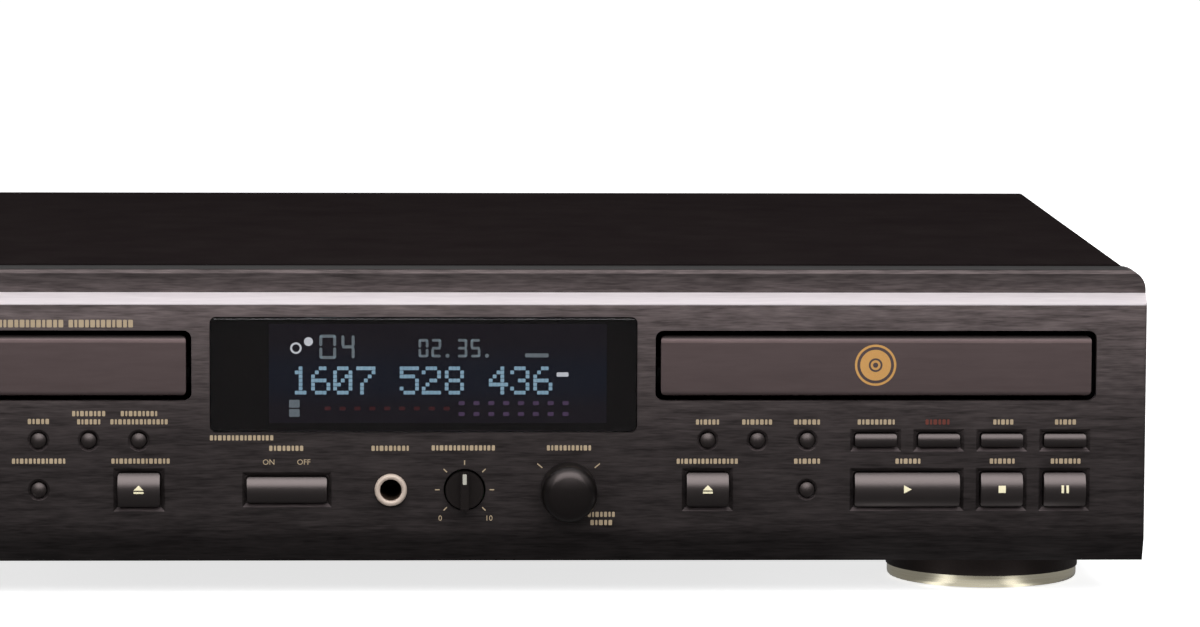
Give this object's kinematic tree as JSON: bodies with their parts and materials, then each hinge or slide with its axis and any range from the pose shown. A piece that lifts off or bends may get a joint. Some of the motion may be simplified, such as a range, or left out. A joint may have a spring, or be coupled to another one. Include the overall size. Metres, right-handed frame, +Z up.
{
  "type": "dual cd recorder",
  "caption": "Full-width hi-fi disc recorder with paired sliding disc drawers, a display window, push keys, knobs and round feet.",
  "frame": {"origin": "on the floor under the middle of the whole box", "axes": "+X to the right of the front panel, +Y towards the back, +Z up"},
  "size_m": [0.44, 0.311, 0.1006],
  "materials": {
    "case_sheet": "dark satin paint",
    "panel": "dark brushed",
    "trim": "bright satin",
    "smoked_window": "smoked clear",
    "display": "dark glass",
    "board": "board green",
    "foot": "matte",
    "gold_ring": "polished champagne",
    "screw": "dark",
    "socket": "moulded",
    "key": "metallic satin",
    "deck_plastic": "moulded black",
    "deck_metal": "zinc plated",
    "gear": "white moulded"
  },
  "bodies": {
    "case": {"chassis_pan": "case_sheet", "rear_panel": "case_sheet", "top_cover": "case_sheet", "front_panel": "panel", "trim_strip": "trim", "display_window": "smoked_window", "display_tube": "display", "front_board": "board", "feet": "foot", "foot_rings": "gold_ring", "case_screws": "screw", "main_board": "board", "power_board": "board", "mains_inlet": "socket", "phono_sockets": "socket", "digital_sockets": "socket", "headphone_socket": "gold_ring", "loader_frames": "deck_plastic", "clamp_bridges": "deck_metal"},
    "level_knob": {"level_knob": "key"},
    "jog_knob": {"jog_knob": "key"},
    "power_button": {"power_button": "key"},
    "left_round_button_1": {"left_round_button_1": "key"},
    "left_round_button_2": {"left_round_button_2": "key"},
    "left_round_button_3": {"left_round_button_3": "key"},
    "left_round_button_4": {"left_round_button_4": "key"},
    "left_thin_key_1": {"left_thin_key_1": "key"},
    "left_thin_key_2": {"left_thin_key_2": "key"},
    "left_thin_key_3": {"left_thin_key_3": "key"},
    "left_thin_key_4": {"left_thin_key_4": "key"},
    "left_open_key": {"left_open_key": "key"},
    "left_play_key": {"left_play_key": "key"},
    "left_stop_key": {"left_stop_key": "key"},
    "left_pause_key": {"left_pause_key": "key"},
    "right_round_button_1": {"right_round_button_1": "key"},
    "right_round_button_2": {"right_round_button_2": "key"},
    "right_round_button_3": {"right_round_button_3": "key"},
    "right_round_button_4": {"right_round_button_4": "key"},
    "right_thin_key_1": {"right_thin_key_1": "key"},
    "right_thin_key_2": {"right_thin_key_2": "key"},
    "right_thin_key_3": {"right_thin_key_3": "key"},
    "right_thin_key_4": {"right_thin_key_4": "key"},
    "right_open_key": {"right_open_key": "key"},
    "right_play_key": {"right_play_key": "key"},
    "right_stop_key": {"right_stop_key": "key"},
    "right_pause_key": {"right_pause_key": "key"},
    "left_tray": {"left_tray": "deck_plastic", "left_tray_front": "panel"},
    "left_tray_gear": {"left_tray_gear": "gear"},
    "left_mech_plate": {"left_mech_plate": "deck_metal"},
    "left_turntable": {"left_turntable": "deck_plastic"},
    "left_laser_sled": {"left_laser_sled": "deck_plastic"},
    "left_clamp_puck": {"left_clamp_puck": "deck_plastic"},
    "right_tray": {"right_tray": "deck_plastic", "right_tray_front": "panel"},
    "right_tray_gear": {"right_tray_gear": "gear"},
    "right_mech_plate": {"right_mech_plate": "deck_metal"},
    "right_turntable": {"right_turntable": "deck_plastic"},
    "right_laser_sled": {"right_laser_sled": "deck_plastic"},
    "right_clamp_puck": {"right_clamp_puck": "deck_plastic"}
  },
  "joints": [
    {"name": "level_knob_turn", "type": "hinge", "parent": "case", "child": "level_knob", "pos_m": [0.0124, -0.1415, 0.0334], "axis": [0, -1, 0], "range_deg": [-150, 150]},
    {"name": "jog_knob_turn", "type": "hinge", "parent": "case", "child": "jog_knob", "pos_m": [0.044, -0.1415, 0.0334], "axis": [0, -1, 0], "continuous": true},
    {"name": "power_button_press", "type": "slide", "parent": "case", "child": "power_button", "axis": [0, 1, 0], "range_m": [0, 0.0008], "stiffness_N_per_m": 800},
    {"name": "left_round_button_1_press", "type": "slide", "parent": "case", "child": "left_round_button_1", "axis": [0, 1, 0], "range_m": [0, 0.0008], "stiffness_N_per_m": 800},
    {"name": "left_round_button_2_press", "type": "slide", "parent": "case", "child": "left_round_button_2", "axis": [0, 1, 0], "range_m": [0, 0.0008], "stiffness_N_per_m": 800},
    {"name": "left_round_button_3_press", "type": "slide", "parent": "case", "child": "left_round_button_3", "axis": [0, 1, 0], "range_m": [0, 0.0008], "stiffness_N_per_m": 800},
    {"name": "left_round_button_4_press", "type": "slide", "parent": "case", "child": "left_round_button_4", "axis": [0, 1, 0], "range_m": [0, 0.0008], "stiffness_N_per_m": 800},
    {"name": "left_thin_key_1_press", "type": "slide", "parent": "case", "child": "left_thin_key_1", "axis": [0, 1, 0], "range_m": [0, 0.0008], "stiffness_N_per_m": 800},
    {"name": "left_thin_key_2_press", "type": "slide", "parent": "case", "child": "left_thin_key_2", "axis": [0, 1, 0], "range_m": [0, 0.0008], "stiffness_N_per_m": 800},
    {"name": "left_thin_key_3_press", "type": "slide", "parent": "case", "child": "left_thin_key_3", "axis": [0, 1, 0], "range_m": [0, 0.0008], "stiffness_N_per_m": 800},
    {"name": "left_thin_key_4_press", "type": "slide", "parent": "case", "child": "left_thin_key_4", "axis": [0, 1, 0], "range_m": [0, 0.0008], "stiffness_N_per_m": 800},
    {"name": "left_open_key_press", "type": "slide", "parent": "case", "child": "left_open_key", "axis": [0, 1, 0], "range_m": [0, 0.0008], "stiffness_N_per_m": 800},
    {"name": "left_play_key_press", "type": "slide", "parent": "case", "child": "left_play_key", "axis": [0, 1, 0], "range_m": [0, 0.0008], "stiffness_N_per_m": 800},
    {"name": "left_stop_key_press", "type": "slide", "parent": "case", "child": "left_stop_key", "axis": [0, 1, 0], "range_m": [0, 0.0008], "stiffness_N_per_m": 800},
    {"name": "left_pause_key_press", "type": "slide", "parent": "case", "child": "left_pause_key", "axis": [0, 1, 0], "range_m": [0, 0.0008], "stiffness_N_per_m": 800},
    {"name": "right_round_button_1_press", "type": "slide", "parent": "case", "child": "right_round_button_1", "axis": [0, 1, 0], "range_m": [0, 0.0008], "stiffness_N_per_m": 800},
    {"name": "right_round_button_2_press", "type": "slide", "parent": "case", "child": "right_round_button_2", "axis": [0, 1, 0], "range_m": [0, 0.0008], "stiffness_N_per_m": 800},
    {"name": "right_round_button_3_press", "type": "slide", "parent": "case", "child": "right_round_button_3", "axis": [0, 1, 0], "range_m": [0, 0.0008], "stiffness_N_per_m": 800},
    {"name": "right_round_button_4_press", "type": "slide", "parent": "case", "child": "right_round_button_4", "axis": [0, 1, 0], "range_m": [0, 0.0008], "stiffness_N_per_m": 800},
    {"name": "right_thin_key_1_press", "type": "slide", "parent": "case", "child": "right_thin_key_1", "axis": [0, 1, 0], "range_m": [0, 0.0008], "stiffness_N_per_m": 800},
    {"name": "right_thin_key_2_press", "type": "slide", "parent": "case", "child": "right_thin_key_2", "axis": [0, 1, 0], "range_m": [0, 0.0008], "stiffness_N_per_m": 800},
    {"name": "right_thin_key_3_press", "type": "slide", "parent": "case", "child": "right_thin_key_3", "axis": [0, 1, 0], "range_m": [0, 0.0008], "stiffness_N_per_m": 800},
    {"name": "right_thin_key_4_press", "type": "slide", "parent": "case", "child": "right_thin_key_4", "axis": [0, 1, 0], "range_m": [0, 0.0008], "stiffness_N_per_m": 800},
    {"name": "right_open_key_press", "type": "slide", "parent": "case", "child": "right_open_key", "axis": [0, 1, 0], "range_m": [0, 0.0008], "stiffness_N_per_m": 800},
    {"name": "right_play_key_press", "type": "slide", "parent": "case", "child": "right_play_key", "axis": [0, 1, 0], "range_m": [0, 0.0008], "stiffness_N_per_m": 800},
    {"name": "right_stop_key_press", "type": "slide", "parent": "case", "child": "right_stop_key", "axis": [0, 1, 0], "range_m": [0, 0.0008], "stiffness_N_per_m": 800},
    {"name": "right_pause_key_press", "type": "slide", "parent": "case", "child": "right_pause_key", "axis": [0, 1, 0], "range_m": [0, 0.0008], "stiffness_N_per_m": 800},
    {"name": "left_tray_slide", "type": "slide", "parent": "case", "child": "left_tray", "axis": [0, -1, 0], "range_m": [0, 0.138]},
    {"name": "left_tray_gear_turn", "type": "hinge", "parent": "case", "child": "left_tray_gear", "pos_m": [-0.17825, -0.1035, 0.064], "axis": [0, 0, 1], "range_deg": [0, 795]},
    {"name": "left_mech_lift", "type": "slide", "parent": "case", "child": "left_mech_plate", "axis": [0, 0, 1], "range_m": [0, 0.008]},
    {"name": "left_turntable_spin", "type": "hinge", "parent": "left_mech_plate", "child": "left_turntable", "pos_m": [-0.1375, -0.0675, 0.068], "axis": [0, 0, 1], "continuous": true},
    {"name": "left_laser_sled_slide", "type": "slide", "parent": "left_mech_plate", "child": "left_laser_sled", "axis": [0, 1, 0], "range_m": [0, 0.035]},
    {"name": "left_clamp_puck_spin", "type": "hinge", "parent": "case", "child": "left_clamp_puck", "pos_m": [-0.1375, -0.0675, 0.08], "axis": [0, 0, 1], "continuous": true},
    {"name": "right_tray_slide", "type": "slide", "parent": "case", "child": "right_tray", "axis": [0, -1, 0], "range_m": [0, 0.138]},
    {"name": "right_tray_gear_turn", "type": "hinge", "parent": "case", "child": "right_tray_gear", "pos_m": [0.17825, -0.1035, 0.064], "axis": [0, 0, 1], "range_deg": [-795, 0]},
    {"name": "right_mech_lift", "type": "slide", "parent": "case", "child": "right_mech_plate", "axis": [0, 0, 1], "range_m": [0, 0.008]},
    {"name": "right_turntable_spin", "type": "hinge", "parent": "right_mech_plate", "child": "right_turntable", "pos_m": [0.1375, -0.0675, 0.068], "axis": [0, 0, 1], "continuous": true},
    {"name": "right_laser_sled_slide", "type": "slide", "parent": "right_mech_plate", "child": "right_laser_sled", "axis": [0, 1, 0], "range_m": [0, 0.035]},
    {"name": "right_clamp_puck_spin", "type": "hinge", "parent": "case", "child": "right_clamp_puck", "pos_m": [0.1375, -0.0675, 0.08], "axis": [0, 0, 1], "continuous": true}
  ],
  "couplings": [
    {"joint": "left_tray_gear_turn", "follows": "left_tray_slide", "rad_per_m": 100},
    {"joint": "right_tray_gear_turn", "follows": "right_tray_slide", "rad_per_m": -100}
  ]
}
